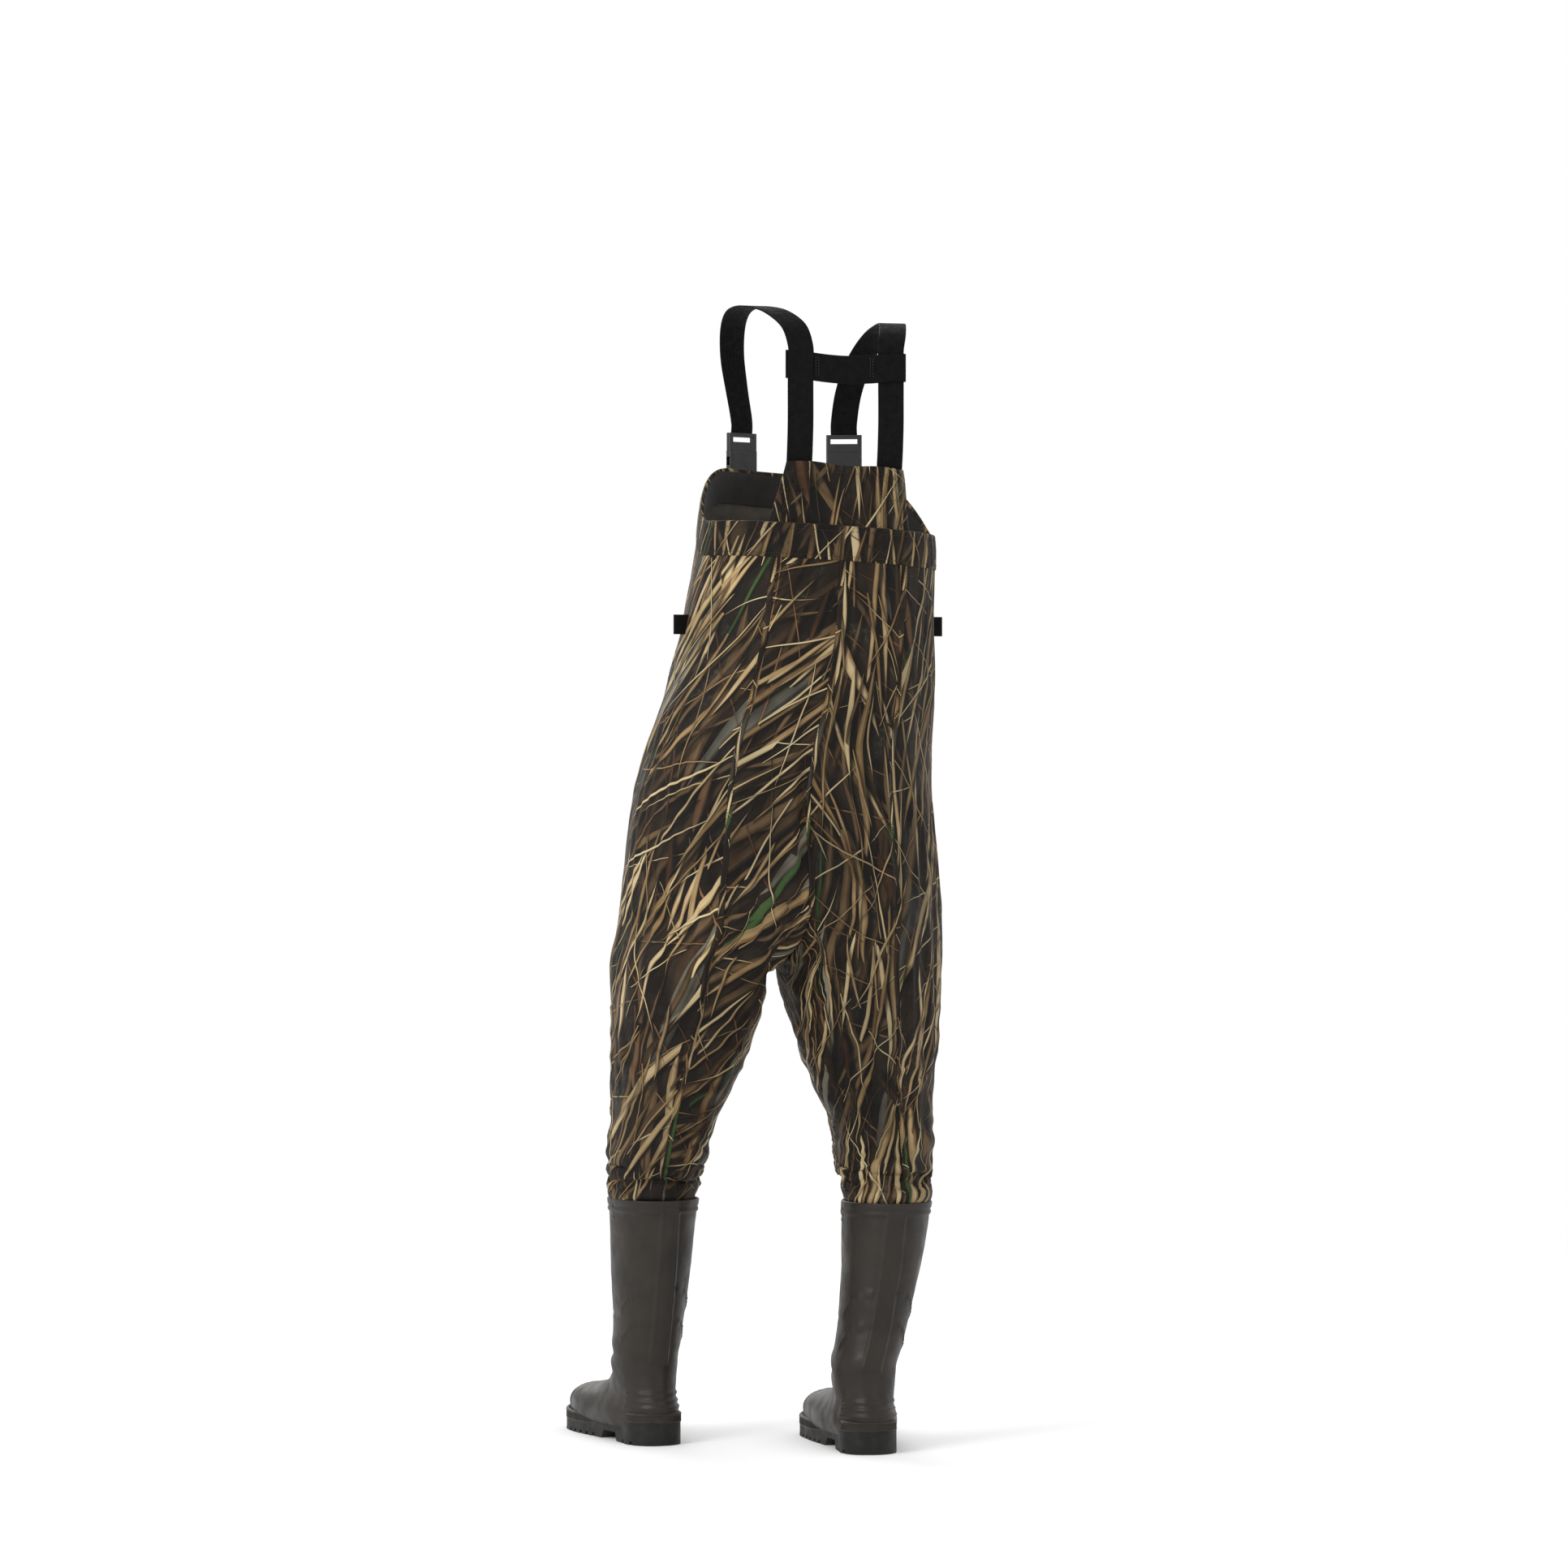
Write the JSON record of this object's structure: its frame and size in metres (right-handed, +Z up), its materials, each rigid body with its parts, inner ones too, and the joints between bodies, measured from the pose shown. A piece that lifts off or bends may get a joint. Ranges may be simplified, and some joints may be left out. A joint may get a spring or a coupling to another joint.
{
  "type": "chest waders",
  "caption": "Camouflage chest waders with moulded rubber boots, webbing suspenders, back yoke, cross strap and a flapped chest pocket.",
  "frame": {"origin": "middle of the whole footprint on the floor under the boots", "axes": "+Z up, front of the wearer towards -Y, the wearer's left towards +X"},
  "size_m": [0.4713, 0.5012, 1.5678],
  "materials": {
    "camouflage_fabric": "woven nylon printed with a brown marsh-reed camouflage",
    "dark_lining_fabric": "dark brown-black knitted lining",
    "seam_tape": "smooth heat-bonded tape",
    "elastic_webbing": "ribbed elastic",
    "black_webbing": "black ribbed polypropylene webbing",
    "black_plastic": "black moulded acetal",
    "hook_and_loop": "black hook-and-loop tape",
    "boot_rubber": "satin dark brown moulded rubber",
    "sole_rubber": "matt black-brown moulded rubber",
    "boot_lining": "grey insulating felt",
    "steel": "plain spring steel"
  },
  "bodies": {
    "torso": {"back_yoke": "camouflage_fabric", "centre_seam_tape": "seam_tape", "chest_pocket": "camouflage_fabric", "crotch_gusset": "camouflage_fabric", "flap_binding": "camouflage_fabric", "hem_elastic": "elastic_webbing", "hem_facing": "dark_lining_fabric", "left_back_panel": "camouflage_fabric", "left_buckle_anchor": "black_webbing", "left_buckle_socket": "black_plastic", "left_front_panel": "camouflage_fabric", "left_seam_tape": "seam_tape", "left_side_tab": "black_webbing", "left_suspender": "black_webbing", "left_thigh": "camouflage_fabric", "pocket_loop_tape": "hook_and_loop", "right_back_panel": "camouflage_fabric", "right_buckle_anchor": "black_webbing", "right_buckle_socket": "black_plastic", "right_front_panel": "camouflage_fabric", "right_seam_tape": "seam_tape", "right_side_tab": "black_webbing", "right_suspender": "black_webbing", "right_thigh": "camouflage_fabric"},
    "left_lower_leg": {"left_knee_fabric": "camouflage_fabric", "left_knee_patch": "camouflage_fabric", "left_shin_fabric": "camouflage_fabric", "left_boot_upper": "boot_rubber", "left_boot_cuff": "boot_rubber", "left_back_stay": "boot_rubber", "left_boot_lining": "boot_lining", "left_outsole": "sole_rubber", "left_shank": "steel", "left_rand": "boot_rubber", "left_insole": "boot_lining", "left_toe_cap": "boot_rubber"},
    "right_lower_leg": {"right_knee_fabric": "camouflage_fabric", "right_knee_patch": "camouflage_fabric", "right_shin_fabric": "camouflage_fabric", "right_boot_upper": "boot_rubber", "right_boot_cuff": "boot_rubber", "right_back_stay": "boot_rubber", "right_boot_lining": "boot_lining", "right_outsole": "sole_rubber", "right_shank": "steel", "right_rand": "boot_rubber", "right_insole": "boot_lining", "right_toe_cap": "boot_rubber"},
    "cross_strap": {"cross_strap": "black_webbing"},
    "left_buckle_clip": {"left_buckle_clip": "black_plastic"},
    "right_buckle_clip": {"right_buckle_clip": "black_plastic"},
    "pocket_flap": {"pocket_flap": "camouflage_fabric", "flap_hook_tape": "hook_and_loop"}
  },
  "joints": [
    {"name": "left_knee_flex", "type": "hinge", "parent": "torso", "child": "left_lower_leg", "pos_m": [0.1406, 0.0433, 0.53], "axis": [1, 0, 0], "range_deg": [0, 80], "deforming": ["left_knee_fabric", "left_knee_patch"]},
    {"name": "right_knee_flex", "type": "hinge", "parent": "torso", "child": "right_lower_leg", "pos_m": [-0.1164, 0.1283, 0.53], "axis": [1, 0, 0], "range_deg": [0, 80], "deforming": ["right_knee_fabric", "right_knee_patch"]},
    {"name": "cross_strap_slide", "type": "slide", "parent": "torso", "child": "cross_strap", "axis": [0, 0, 1], "range_m": [-0.06, 0.003]},
    {"name": "left_clip_release", "type": "slide", "parent": "torso", "child": "left_buckle_clip", "axis": [0, 0, 1], "range_m": [0, 0.018]},
    {"name": "right_clip_release", "type": "slide", "parent": "torso", "child": "right_buckle_clip", "axis": [0, 0, 1], "range_m": [0, 0.018]},
    {"name": "pocket_flap_lift", "type": "hinge", "parent": "torso", "child": "pocket_flap", "pos_m": [-0.0484, -0.0486, 1.27], "axis": [-1, 0, 0], "range_deg": [0, 160]}
  ]
}
